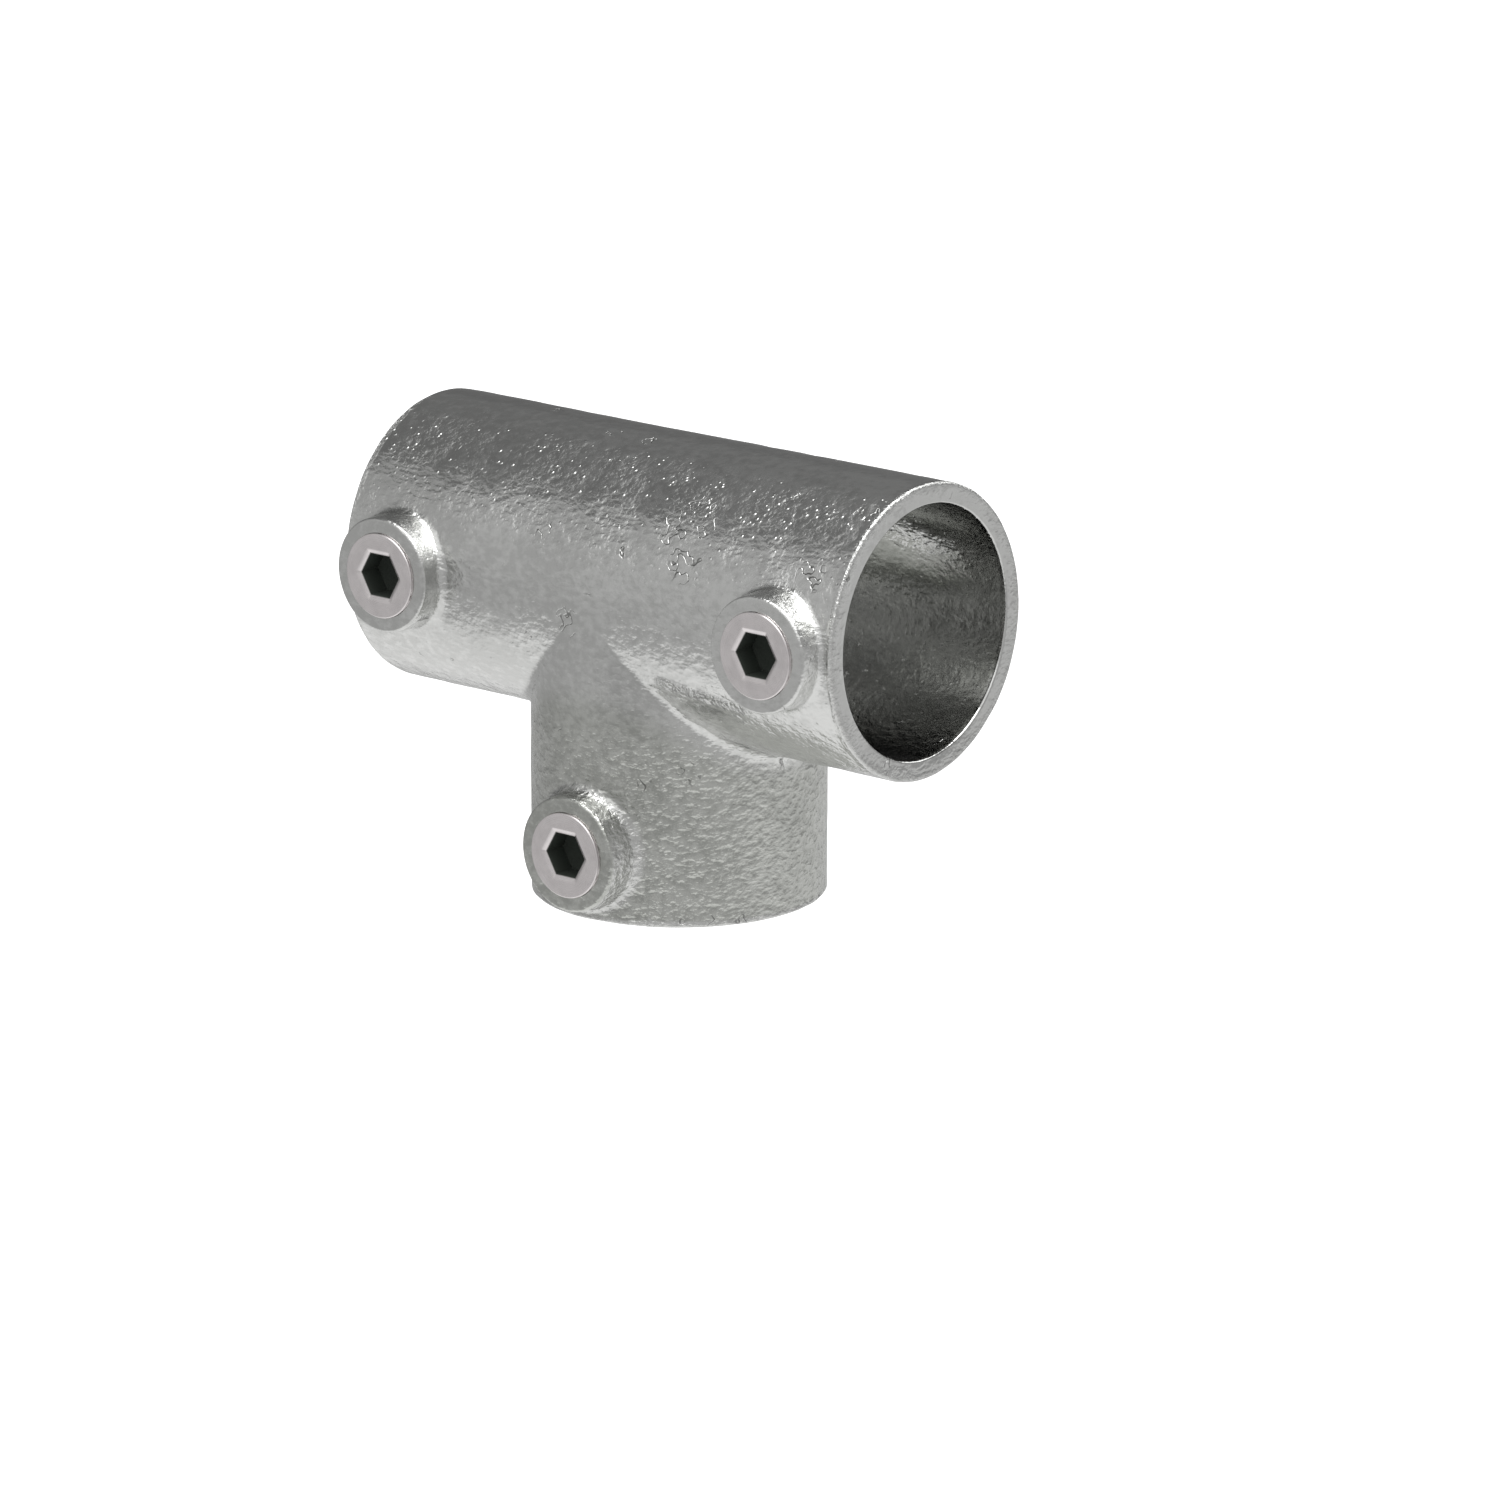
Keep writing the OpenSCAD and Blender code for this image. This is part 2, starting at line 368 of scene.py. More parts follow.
def boss_rows(size, screw, reach, foot, turn_into_place, border_out, border_in):
    """Boss of a socket that opens towards +X, as rows of RING + 1 points each.

    It runs from the square border on the outer skin over the fillet, the drafted wall, the
    rounded edge, the face and the threaded hole to the square border in the bore. At the angle t
    round the boss the fillet is the arc of a ball of radius f that rests on the skin and on the
    wall, and f shrinks to size.rim_foot on the side of the open end, with the square of cos t.
    """
    t = np.arange(RING + 1) * TURN / RING
    cos, sin = np.cos(t), np.sin(t)
    outer, bore = size.skin_radius, size.bore_radius
    wall, edge, face = size.boss_radius, size.boss_round, size.boss_face
    f = foot + (min(foot, size.rim_foot) - foot) * np.maximum(0, cos) ** 2

    def at(radius, y):
        """A row round the boss at a radius and a depth."""
        return points(reach + radius * cos, y, radius * sin)

    ball_z = (wall + f) * sin
    ball_y = -np.sqrt((outer + f) ** 2 - ball_z ** 2)
    ball = points(reach + (wall + f) * cos, ball_y, ball_z)
    from_skin = points(0 * t, ball_y, ball_z) / (outer + f)[:, None]
    from_wall = points(cos, 0, sin)
    fillet = arc(ball, from_skin, from_wall, f, FOOT_ROWS)

    apron = rows_between(border_out, fillet[0], APRON_ROWS)
    apron[..., 1] = -np.sqrt(outer ** 2 - apron[..., 2] ** 2)

    wall -= size.boss_draft
    sides = rows_between(fillet[-1], at(wall, -(face - edge)), BOSS_WALL_ROWS, False)
    turn = climb(BOSS_EDGE_ROWS, QUARTER)
    rounding = points(reach + (wall - edge + edge * np.cos(turn)) * cos,
                      -(face - edge + edge * np.sin(turn)) + 0 * t,
                      (wall - edge + edge * np.cos(turn)) * sin)

    hole = screw.radius + HOLE_ROOM
    flat = rows_between(rounding[-1], at(hole + HOLE_LIP, -face), BOSS_FACE_ROWS, False)
    mouth = rows_between(flat[-1], at(hole, -(face - HOLE_LIP)), 1, False)

    # Thread of the hole, faded out near its two ends. Its angles are those in place, where
    # they meet the thread of the screw
    count = int(round((face - bore) / screw.pitch * THREAD_ROWS_PER_PITCH))
    k = climb(count)
    end = -np.sqrt(bore ** 2 - (hole * sin) ** 2)
    y = -(face - HOLE_LIP) * (1 - k) + end * k
    to_x, to_z = turn_into_place[[0, 2]]
    world = np.arctan2(to_z[0] * cos + to_z[2] * sin, to_x[0] * cos + to_x[2] * sin)
    fade = ease(y + face, HOLE_LIP, HOLE_LIP + 1.0 * MM) * ease(end - y, 0, 0.9 * MM)
    radius = hole - HOLE_THREAD * thread_tooth(y, world, screw.pitch) * fade
    threads = points(reach + radius * cos, y, radius * sin)

    inside = rows_between(threads[-1], border_in, APRON_ROWS, False)
    inside[..., 1] = -np.sqrt(bore ** 2 - inside[..., 2] ** 2)
    return np.concatenate([apron, fillet[1:], sides, rounding, flat, mouth, threads, inside])


def square_border(low, high, half_angle, radius):
    """Border of a square patch of a round skin, from x = low to high and plus or minus
    half_angle, starting at the middle of its high side, as RING + 1 points."""
    corner = np.array([0, 0.5, 1.5, 2.5, 3.5, 4]) * PATCH
    k = np.arange(RING + 1)
    x = np.interp(k, corner, [high, high, low, low, high, high])
    angle = np.interp(k, corner, np.array([0, 1, 1, -1, -1, 0]) * half_angle)
    return skin(x, angle, radius)


def socket(sheets, size, screw, turn, reach, foot, start, inner_start, inner_angle):
    """One socket with its boss, as it opens towards +X, then turned into place.

    start gives where the outer skin begins at each angle, and inner_start and inner_angle give
    where the bore ends. turn is the matrix that takes +X and the skin's +Z into place. The skin
    is a grid over angle and length whose middle row keeps clear of the boss, with a square patch
    of cells left out for the boss."""
    angle = (np.arange(COLUMNS + 1) - COLUMNS // 2) * TURN / COLUMNS
    half_angle = PATCH / 2 * TURN / COLUMNS
    outer, bore, edge = size.skin_radius, size.bore_radius, size.rim_round
    rim = reach - edge
    centre = reach - size.boss_inset
    patch_low = centre - size.boss_radius - PATCH_ROOM

    # Outer skin, with its rows ahead of the boss at the front and evenly spread at the back
    begin = start(angle)
    spread = ease(np.abs(angle), math.radians(32), math.radians(80))
    even = begin + (rim - begin) * LEAD_ROWS / (LEAD_ROWS + PATCH)
    middle = patch_low * (1 - spread) + even * spread
    k = np.linspace(0, 1, LEAD_ROWS + 1)[:, None]
    lead = begin + (middle - begin) * k
    rest = middle + (rim - middle) * climb(PATCH)
    x = np.concatenate([lead, rest])
    turned = climb(RIM_ROWS, QUARTER)
    x = np.concatenate([x, rim + edge * np.sin(turned) + 0 * angle])
    r = np.concatenate([np.full((LEAD_ROWS + PATCH + 1, 1), outer),
                        outer - edge + edge * np.cos(turned)])
    # End face, the rounded mouth and the bore down to where it ends
    lip = size.mouth
    face_r = np.linspace(outer - edge, bore + lip, END_FACE_ROWS + 1)[1:, None]
    x = np.concatenate([x, np.full((END_FACE_ROWS, 1), reach) + 0 * angle])
    r = np.concatenate([r, face_r])
    turned = climb(MOUTH_ROWS, QUARTER)
    x = np.concatenate([x, reach - lip + lip * np.cos(turned) + 0 * angle])
    r = np.concatenate([r, bore + lip - lip * np.sin(turned)])
    first_bore = len(r) - 1
    deep_low = centre - size.boss_radius - BORE_PATCH_ROOM
    k = climb(PATCH)
    x = np.concatenate([x, (reach - lip) * (1 - k) + deep_low * k + 0 * angle])
    k = climb(BORE_ROWS)
    x = np.concatenate([x, deep_low * (1 - k) + inner_start(angle) * k])
    r = np.concatenate([r, np.full((PATCH + BORE_ROWS, 1), bore)])
    angles = np.broadcast_to(angle, x.shape).copy()
    angles[-BORE_ROWS:] = angle * (1 - k) + inner_angle(angle) * k
    grid = skin(x, angles, r)

    # Cells under the boss and over its hole are left out
    keep = np.ones((grid.shape[0] - 1, COLUMNS), bool)
    side = slice((COLUMNS - PATCH) // 2, (COLUMNS + PATCH) // 2)
    keep[LEAD_ROWS:LEAD_ROWS + PATCH, side] = False
    keep[first_bore:first_bore + PATCH, side] = False
    sheets.add(grid @ turn.T, keep)

    border_out = square_border(patch_low, rim, half_angle, outer)
    border_in = square_border(deep_low, reach - lip, half_angle, bore)
    rows = boss_rows(size, screw, centre, foot, turn, border_out, border_in)
    sheets.add(rows @ turn.T)


def saddle_rows(size, side):
    """Fillet between stem and run on one side of the stem. At the angle a from the screw side, 0
    to half a turn, a ball of radius f rests on both skins with its centre at
    ((R + f) sin a, -(R + f) cos a, -(R + f) sin a), and the fillet is its arc between them."""
    a = np.arange(COLUMNS // 2 + 1) * TURN / COLUMNS
    sin, cos = np.sin(a), np.cos(a)
    far = size.skin_radius + size.saddle
    centre = points(far * sin, -far * cos, -far * sin)
    from_stem = points(sin, -cos, 0)
    from_run = points(0, -cos, -sin)
    rows = arc(centre, from_stem, from_run, np.full(a.shape, size.saddle), SADDLE_ROWS)
    return rows * np.array([side, 1, 1])


def casting_mesh(size, screw):
    """The casting as one closed skin: two halves of the run, the stem, the two fillets between
    them and the shoulder in the stem with its round window into the run."""
    sheets = Sheets()
    outer, bore, core = size.skin_radius, size.bore_radius, size.core_radius
    far = outer + size.saddle
    side_angle = math.acos(core / bore)

    def run_begin(angle):
        """Where half of the run's skin begins: at its middle, or at the saddle's fillet."""
        return far * np.maximum(0, -np.sin(angle))

    def run_window(angle):
        """Where half of the run's bore ends: at its middle, or at the window's edge."""
        return core * np.maximum(0, -np.sin(angle))

    def run_window_angle(angle):
        """The angle at which it ends there: the upper half of the columns spreads round the
        bore as far as the window's sides, and the lower half follows the window's edge."""
        above = -side_angle + angle * (math.pi + 2 * side_angle) / math.pi
        return np.where(angle > 0, above, -np.arccos(core * np.cos(angle) / bore))

    for side in (1, -1):
        turn = np.diag([side, 1, 1])
        socket(sheets, size, screw, turn, size.run_half, size.run_foot, run_begin,
               run_window, run_window_angle)
        sheets.add(saddle_rows(size, side))

    turn = np.array([[0, 0, 1], [0, 1, 0], [-1, 0, 0]])
    socket(sheets, size, screw, turn, size.stem_depth, size.stem_foot,
           lambda angle: far * np.abs(np.sin(angle)),
           lambda angle: size.shoulder + 0 * angle, lambda angle: angle)

    # Shoulder and window: a flat ring, then up a round wall to the bore of the run
    angle = (np.arange(COLUMNS + 1) - COLUMNS // 2) * TURN / COLUMNS
    ring = skin(size.shoulder, angle, bore)
    lip = skin(size.shoulder, angle, core)
    top = skin(np.sqrt(bore ** 2 - (core * np.cos(angle)) ** 2), angle, core)
    rows = np.concatenate([rows_between(ring, lip, WINDOW_ROWS),
                           rows_between(lip, top, WINDOW_ROWS, False)])
    sheets.add(rows @ turn.T)
    return sheets.mesh("tee_casting_skin")


def plane_waves(place, seed, lengths, count):
    """Smooth unevenness: a sum of plane waves, sine of 2 pi (place . direction) / length plus a
    phase, over random directions, with a mean square of one."""
    rng = np.random.default_rng(seed)
    way = rng.normal(size=(count, 3))
    way /= np.linalg.norm(way, axis=1)[:, None]
    way /= rng.uniform(*lengths, size=(count, 1))
    phase = rng.uniform(0, TURN, count)
    return np.sin(place @ way.T * TURN + phase).sum(1) * math.sqrt(2 / count)


def roughen(mesh, size, screw):
    """Sinks the cast skin a little along its normals, by broad and small unevenness. Bores, screw
    holes and open ends stay true, and the faces of the bosses nearly so. Stores how crinkled a
    point is, on the sides of the bosses and at the open ends, as rough, and how much it belongs
    to the cast skin, as skin."""
    place = vertex_places(mesh)
    normal = np.empty(place.size)
    mesh.vertex_normals.foreach_get("vector", normal)
    normal = normal.reshape(-1, 3)
    x, y, z = place.T
    outer, bore = size.skin_radius, size.bore_radius

    from_run = np.hypot(y, z)
    from_stem = np.where(z < 0, np.hypot(x, y), 1.0)
    wall = outer - bore
    cast = ease(np.minimum(from_run, from_stem), bore + 0.1 * wall, bore + 0.5 * wall)
    inset_x = size.run_half - size.boss_inset
    inset_z = size.stem_depth - size.boss_inset
    from_screw = np.minimum(np.hypot(np.abs(x) - inset_x, z), np.hypot(x, z + inset_z))
    front = y < -bore
    cast *= np.where(front, ease(from_screw, screw.radius + 0.4 * MM, screw.radius + 2 * MM), 1)
    face = np.where(front, ease(-y, outer + 3 * MM, size.boss_face), 0)
    cast *= 1 - 0.75 * face

    broad = plane_waves(place, size.seed, *BROAD_WAVES)
    small = plane_waves(place, size.seed + 1, *SMALL_WAVES)
    depth = size.waviness * (0.5 + 0.28 * broad + 0.16 * small)
    place -= normal * (np.maximum(depth, 0.02 * MM) * cast)[:, None]
    mesh.vertices.foreach_set("co", place.ravel())
    mesh.update()

    # Crinkled places. x, y and z are views of place, so here they are those of the sunk skin
    side = size.boss_radius
    walls = ease(from_screw, side - 1.3 * MM, side - 0.3 * MM)
    walls *= 1 - ease(from_screw, side + 0.4 * MM, side + 2.2 * MM)
    rims = [ease(end, -1.3 * MM, -0.4 * MM) * ease(away, outer - 2.2 * MM, outer - 1 * MM)
            for end, away in ((np.abs(x) - size.run_half, from_run),
                              (-z - size.stem_depth, np.hypot(x, y)))]
    # rough also keeps the run's brighter zinc on the sides of the stem's boss, a painted highlight
    store(mesh, rough=np.maximum(walls * front, 2.8 * np.maximum(*rims)), skin=cast)


# ----------------------------------------------------------------------
# Set screws
# ----------------------------------------------------------------------

def hexagon(flats, t):
    """Distance from the axis to a hexagon's side at the angle t, with corners at 0 and each
    60 degrees: half the width across the flats over the cosine of the angle from the nearest
    side's middle."""
    sixth = TURN / 6
    return flats / 2 / np.cos(np.mod(t, sixth) - sixth / 2)


def screw_mesh(name, size, centre_x, centre_z):
    """Set screw as one closed grid of rings about its axis, from the pole at the bottom of the
    hexagon socket over the driven end, down the threaded side, to the pole of the cup."""
    t = np.arange(RING + 1) * TURN / RING
    cos, sin = np.cos(t), np.sin(t)
    head, tip, outer = -size.head, -size.tip, size.radius

    def at(radius, y):
        """Rings at the given radii and depths, one row for each."""
        radius = np.atleast_2d(radius)
        return points(centre_x + radius * cos, y, centre_z + radius * sin)

    key, wide = hexagon(size.key, t), hexagon(size.key_mouth, t)
    bottom = head + size.key_depth
    funnel = 0.25 * (size.key_mouth - size.key)
    drill = 0.7 * MM
    foot = bottom - 0.06 * MM
    socket_rows = [at(0 * t, bottom + drill), at(key * 0.5, bottom + drill / 2),
                   at(key * 0.97, bottom + 0.02 * MM), at(key, foot)]
    for share_up in (0.33, 0.66, 1):
        socket_rows.append(at(key, foot * (1 - share_up) + (head + funnel) * share_up))
    # The mouth widens softly from the key's size to its own, then the flat of the driven end
    for share_up in (0.2, 0.4, 0.6, 0.8, 0.97):
        socket_rows.append(at(key * (1 - share_up) + wide * share_up,
                              head + funnel * (1 - share_up) ** 1.4))
    edge = size.edge
    rim = outer - edge
    for share_out in (0, 0.3, 0.6, 1):
        socket_rows.append(at((wide + 0.05 * MM) * (1 - share_out) + rim * share_out, head))

    # Side: the thread's radius, kept within the chamfers at both ends
    count = int(round((tip - head) / size.pitch * THREAD_ROWS_PER_PITCH))
    turned = climb(5, QUARTER)[:-1, 0]
    y = np.concatenate([head + edge * (1 - np.cos(turned)),
                        np.linspace(head + edge, tip, count)])[:, None]
    radius = outer - size.thread * thread_tooth(y, t, size.pitch)
    radius = np.minimum(radius, outer - size.point + (tip - y) + 0 * t)
    low = np.clip(1 - (y - head) / edge, 0, 1)
    full = rim + edge * np.sqrt(1 - low ** 2) + 0 * t
    top = ease(y, head + edge, head + edge + 0.8 * MM)
    radius = np.minimum(full, radius * top + full * (1 - top))
    side = at(radius, y)

    # Tip: the flat ring round the cup, and the cup
    cup = size.cup
    inner = 1 - climb(2)
    ledge = (outer - size.point) * inner + cup * (1 - inner)
    tip_rows = at(ledge + 0 * t, tip)
    k = climb(4)
    cup_rows = at(cup * (1 - k) + 0 * t, tip - size.cup_depth * np.sin(k * math.pi / 2) ** 0.9)
    sheets = Sheets()
    sheets.add(np.concatenate(socket_rows + [side, tip_rows, cup_rows]))
    mesh = sheets.mesh(name)

    # Distance along the turned profile, for the marks of the lathe, and the socket's inside, which
    # takes the painted shade
    x, y, z = vertex_places(mesh).T
    away = np.hypot(x - centre_x, z - centre_z)
    inside = (away < size.key * 0.6) & (y < bottom + drill + 0.01 * MM)
    inside &= y > head + funnel - 0.01 * MM
    store(mesh, turned=away - y, socket=inside.astype(float))
    return mesh


# ----------------------------------------------------------------------
# Materials
# ----------------------------------------------------------------------

class Bench:
    """Adds nodes to a material or a world. An input takes a number, a colour or an output."""

    def __init__(self, owner):
        owner.use_nodes = True
        self.tree = owner.node_tree

    def feed(self, node, inputs):
        """Gives inputs of a node their values, or links them to outputs."""
        for key, value in inputs.items():
            if isinstance(value, bpy.types.NodeSocket):
                self.tree.links.new(value, node.inputs[key])
            else:
                node.inputs[key].default_value = value

    def add(self, kind, inputs=None, **settings):
        """Adds a node, whose type is ShaderNode and the kind."""
        node = self.tree.nodes.new("ShaderNode" + kind)
        for key, value in settings.items():
            setattr(node, key, value)
        self.feed(node, inputs or {})
        return node

    def math(self, operation, a, b=0.0):
        return self.add("Math", {0: a, 1: b}, operation=operation).outputs[0]

    def times(self, first, *others):
        """Product of the values, from left to right."""
        for other in others:
            first = self.math("MULTIPLY", first, other)
        return first

    def plus(self, first, *others):
        """Sum of the values, from left to right."""
        for other in others:
            first = self.math("ADD", first, other)
        return first

    def less(self, a, b):
        return self.math("SUBTRACT", a, b)

    def vector(self, operation, a, b=(0, 0, 0)):
        return self.add("VectorMath", {0: a, 1: b}, operation=operation).outputs

    def parts(self, place):
        """The X, Y and Z of a place."""
        return self.add("SeparateXYZ", {0: place}).outputs

    def object_place(self):
        return self.add("TexCoord").outputs["Object"]

    def attribute(self, name):
        return self.add("Attribute", attribute_name=name).outputs["Fac"]

    def noise(self, place, size, detail=2.0, roughness=0.5):
        """Noise whose features are about the given size, in metres."""
        return self.add("TexNoise", {"Vector": place, "Scale": 1 / size, "Detail": detail,
                                     "Roughness": roughness}).outputs["Fac"]

    def steps(self, value, low, high, to_low=0.0, to_high=1.0):
        """Value moved from the range low to high into the range to_low to to_high, eased."""
        return self.add("MapRange",
                        {"Value": value, "From Min": low, "From Max": high, "To Min": to_low,
                         "To Max": to_high}, interpolation_type="SMOOTHSTEP").outputs[0]

    def near(self, place, spots):
        """1 within half the reach of the nearest of the spots, eased to 0 at its full reach."""
        share_in = 0.0
        for spot, reach in spots:
            away = self.vector("DISTANCE", place, [v * MM for v in spot])["Value"]
            share_in = self.math("MAXIMUM", share_in,
                                 self.steps(away, reach * 0.5 * MM, reach * MM, 1.0, 0.0))
        return share_in

    def mix(self, factor, a, b):
        """Mix of two colours, which are the node's inputs 6 and 7 and its output 2."""
        colours = {key: value if isinstance(value, bpy.types.NodeSocket) else (*value, 1.0)
                   for key, value in ((6, a), (7, b))}
        return self.add("Mix", {"Factor": factor, **colours}, data_type="RGBA").outputs[2]

    def bump(self, height, strength, distance):
        return self.add("Bump", {"Height": height, "Strength": strength,
                                 "Distance": distance}).outputs["Normal"]


def shader_of(bench):
    """The material's own shader."""
    return bench.tree.nodes["Principled BSDF"]


def worm_grooves(bench, place):
    """1 along the lines where a noise crosses a level, kept to a few spots."""
    spots = bench.steps(bench.noise(place, 9 * MM, 1.0), 0.70, 0.76)
    spots = bench.math("MAXIMUM", spots, bench.near(place, BLEMISHES))
    swirl = bench.noise(place, WORM_SIZE, 1.0, 0.5)
    line = bench.steps(bench.math("ABSOLUTE", bench.less(swirl, 0.56)), 0.0, 0.035, 1.0, 0.0)
    return bench.times(line, spots)


def stem_shade_share(bench, place, part, size, rough):
    """Share of painted shade, where the stem's zinc is painted darker: 1 on the stem, which is all
    that lies outside the run's skin below, but for the side of its boss. That side keeps the run's
    brighter zinc, a painted highlight."""
    from_run = bench.vector("MULTIPLY", place, (0, 1, 1))["Vector"]
    from_run = bench.vector("LENGTH", from_run)["Value"]
    outside = bench.steps(from_run, size.skin_radius + 0.5 * MM, size.skin_radius + 6 * MM)
    below = bench.steps(part["Z"], -22 * MM, -12 * MM, 1.0, 0.0)
    behind = bench.steps(part["Y"], 0.3 * MM - size.boss_face, 1.2 * MM - size.boss_face)
    side = bench.times(behind, bench.math("MINIMUM", rough, 0.95))
    return bench.times(outside, below, bench.less(1.0, side))


def crinkled_strip(bench, place, part):
    """1 on a strip below the boss on the right, along the line z = -9.9 mm - 0.117 x, broken by
    a noise."""
    off = bench.plus(part["Z"], 9.9 * MM, bench.times(part["X"], 0.117))
    return bench.times(bench.steps(bench.math("ABSOLUTE", off), 0.5 * MM, 2.0 * MM, 1.0, 0.0),
                       bench.steps(part["X"], 14 * MM, 19 * MM),
                       bench.steps(part["X"], 34 * MM, 41 * MM, 1.0, 0.0),
                       bench.steps(part["Y"], -22 * MM, -20 * MM, 1.0, 0.0),
                       bench.steps(bench.noise(place, 2.5 * MM, 2.0), 0.36, 0.54))


def pimples(bench, place, z, top):
    """Low domes in some cells of a pattern, flatter lower down and none on the top."""
    cells = bench.add("TexVoronoi", {"Vector": place, "Scale": 1 / PIMPLE_SIZE})
    chosen = bench.add("SeparateColor", {0: cells.outputs["Color"]}).outputs[0]
    return bench.times(bench.steps(cells.outputs["Distance"], 0.0, 0.34, 1.0, 0.0),
                       bench.steps(chosen, 0.5, 0.85),
                       bench.steps(top, 0.5, 1.0),
                       bench.steps(z, 10 * MM, 21 * MM, 0.3, 1.0))


def zinc_material(finish, size):
    """Hot-dip zinc on a sand casting: a bright metal, faintly mottled, with an orange peel that is
    wider than high, fine grain, scattered pimples, crinkled places and a few wormy blemishes. Its
    colour holds painted light and shade: darker on the stem, lighter towards +X, and darker at the
    open ends, in the grooves and in the pits of the crinkled strip."""
    material = bpy.data.materials.new("galvanised_zinc")
    bench = Bench(material)
    place = bench.object_place()
    part = bench.parts(place)
    flowed = bench.add("Mapping", {"Vector": place, "Scale": (1.0, 1.0, 1.55)})
    peel = bench.noise(flowed.outputs["Vector"], PEEL_SIZE, 1.5, 0.5)
    mottle = bench.noise(place, MOTTLE_SIZE, 4.0, 0.65)
    grain = bench.noise(place, GRAIN_SIZE, 2.0, 0.6)
    crinkle = bench.noise(place, CRINKLE_SIZE, 3.0, 0.65)
    worm = worm_grooves(bench, place)
    rough = bench.attribute("rough")
    strip = crinkled_strip(bench, place, part)

    # Colour: patches of two tones of zinc, darker on the stem and lighter towards +X as painted
    # light and shade. Painted shade also darkens the open ends of the run, the pits of the
    # crinkled strip and the grooves
    # The last term makes the zinc lighter towards +X and darker towards -X: painted light and
    # shade
    patch = bench.plus(bench.times(bench.noise(place, BROAD_SIZE, 2.0), 0.3),
                       bench.times(mottle, 0.3), bench.times(peel, 0.4),
                       bench.times(part["X"], 1.2))
    # Painted shade: the stem takes the darker tones, but the sides of its boss keep the run's
    # brighter zinc as a painted highlight
    stem = stem_shade_share(bench, place, part, size, rough)
    light = bench.mix(stem, finish.zinc_light, finish.stem_shaded_bright)
    dark = bench.mix(stem, finish.zinc_dark, finish.stem_shaded_dull)
    base = bench.mix(bench.steps(patch, 0.4, 0.6), dark, light)
    # Painted shade at the open ends of the run
    ends = bench.steps(bench.math("ABSOLUTE", part["X"]), size.run_half - 0.5 * MM,
                       size.run_half - 0.1 * MM, 0.0, 0.2)
    # Painted shade in the pits of the crinkled strip
    pit_shade = bench.times(strip, bench.steps(crinkle, 0.42, 0.52, 0.6, 0.0))
    # Painted shade in the grooves, which the relief also sinks: grooves, open ends and pits mix
    # towards a dark colour
    darker = bench.plus(bench.times(worm, 0.7), bench.plus(ends, pit_shade))
    base = bench.mix(darker, base, (0.16, 0.16, 0.155))
    mean = finish.zinc_roughness
    satin = bench.steps(mottle, 0.3, 0.7, mean * 0.8, mean * 1.25)

    # Relief in millimetres: orange peel and grain. On the run both come and go in patches, and
    # its top is smooth. On the stem they are strong
    top = bench.steps(part["Z"], 26.4 * MM, 28.0 * MM, 1.0, 0.25)
    strength = bench.steps(bench.noise(place, 11 * MM, 1.0), 0.36, 0.6, 0.5, 1.15)
    strength = bench.times(strength, bench.steps(part["Z"], -12 * MM, 0.0, 0.65, 1.0), top)
    strength = bench.math("MAXIMUM", strength,
                          bench.steps(part["Z"], -29 * MM, -15 * MM, 1.8, 0.0))
    on_skin = bench.steps(bench.attribute("skin"), 0.0, 1.0, 0.5, 1.0)
    fine = bench.plus(bench.times(peel, PEEL_HEIGHT), bench.times(grain, GRAIN_HEIGHT))
    fine = bench.times(fine, bench.times(strength, on_skin))

    # The sides of the bosses, the edges of the open ends and the strip are crinkled
    crinkled = bench.math("MAXIMUM", rough, bench.times(strip, 3.0))
    crinkled = bench.times(crinkled, bench.times(crinkle, CRINKLE_HEIGHT))
    domes = bench.times(pimples(bench, place, part["Z"], top), PIMPLE_HEIGHT)
    relief = bench.less(bench.plus(fine, crinkled, domes), bench.times(worm, WORM_DEPTH))
    bench.feed(shader_of(bench), {"Base Color": base, "Roughness": satin, "Metallic": 1.0,
                                  "Normal": bench.bump(relief, finish.peel, 1 * MM)})
    return material


def steel_material(finish):
    """Turned stainless steel: satin, with fine marks of the lathe about the screw's axis. The
    hexagon socket is painted nearly black, rough and not metallic: painted shade."""
    material = bpy.data.materials.new("screw_steel")
    bench = Bench(material)
    inside = bench.attribute("socket")
    cloud = bench.noise(bench.object_place(), 2.5 * MM, 3.0, 0.6)
    turned = {"W": bench.attribute("turned"), "Scale": 1 / (0.09 * MM), "Detail": 2.0}
    marks = bench.add("TexNoise", turned, noise_dimensions="1D").outputs["Fac"]

    base = bench.mix(bench.steps(cloud, 0.3, 0.7), [c * 0.95 for c in finish.steel],
                     [min(1.0, c * 1.05) for c in finish.steel])
    # Painted shade: the socket's inside is nearly black, rougher and not metallic
    base = bench.mix(inside, base, finish.socket)
    mean = finish.steel_roughness
    rough = bench.steps(marks, 0.3, 0.7, mean * 0.85, mean * 1.15)
    rough = bench.plus(rough, bench.times(inside, 0.5))
    bench.feed(shader_of(bench), {"Base Color": base, "Roughness": rough,
                                  "Metallic": bench.less(1.0, inside),
                                  "Normal": bench.bump(marks, 0.1, 0.03 * MM)})
    return material


# ----------------------------------------------------------------------
# Stage
# ----------------------------------------------------------------------

def floor_mesh(height):
    """Round floor at a height: rings of growing radius about the middle."""
    spokes = 48
    t = np.arange(spokes + 1) * TURN / spokes
    r = np.array([0, 0.1, 0.25, 0.5, 1, 2, FLOOR_RADIUS])[:, None]
    grid = points(r * np.cos(t), r * np.sin(t), height)
    index = np.arange(grid.shape[0] * (spokes + 1)).reshape(-1, spokes + 1)
    quads = np.stack([index[:-1, :-1], index[1:, :-1], index[1:, 1:], index[:-1, 1:]], -1)
    mesh = bpy.data.meshes.new("floor")
    mesh.from_pydata(grid.reshape(-1, 3), [], quads.reshape(-1, 4))
    return mesh


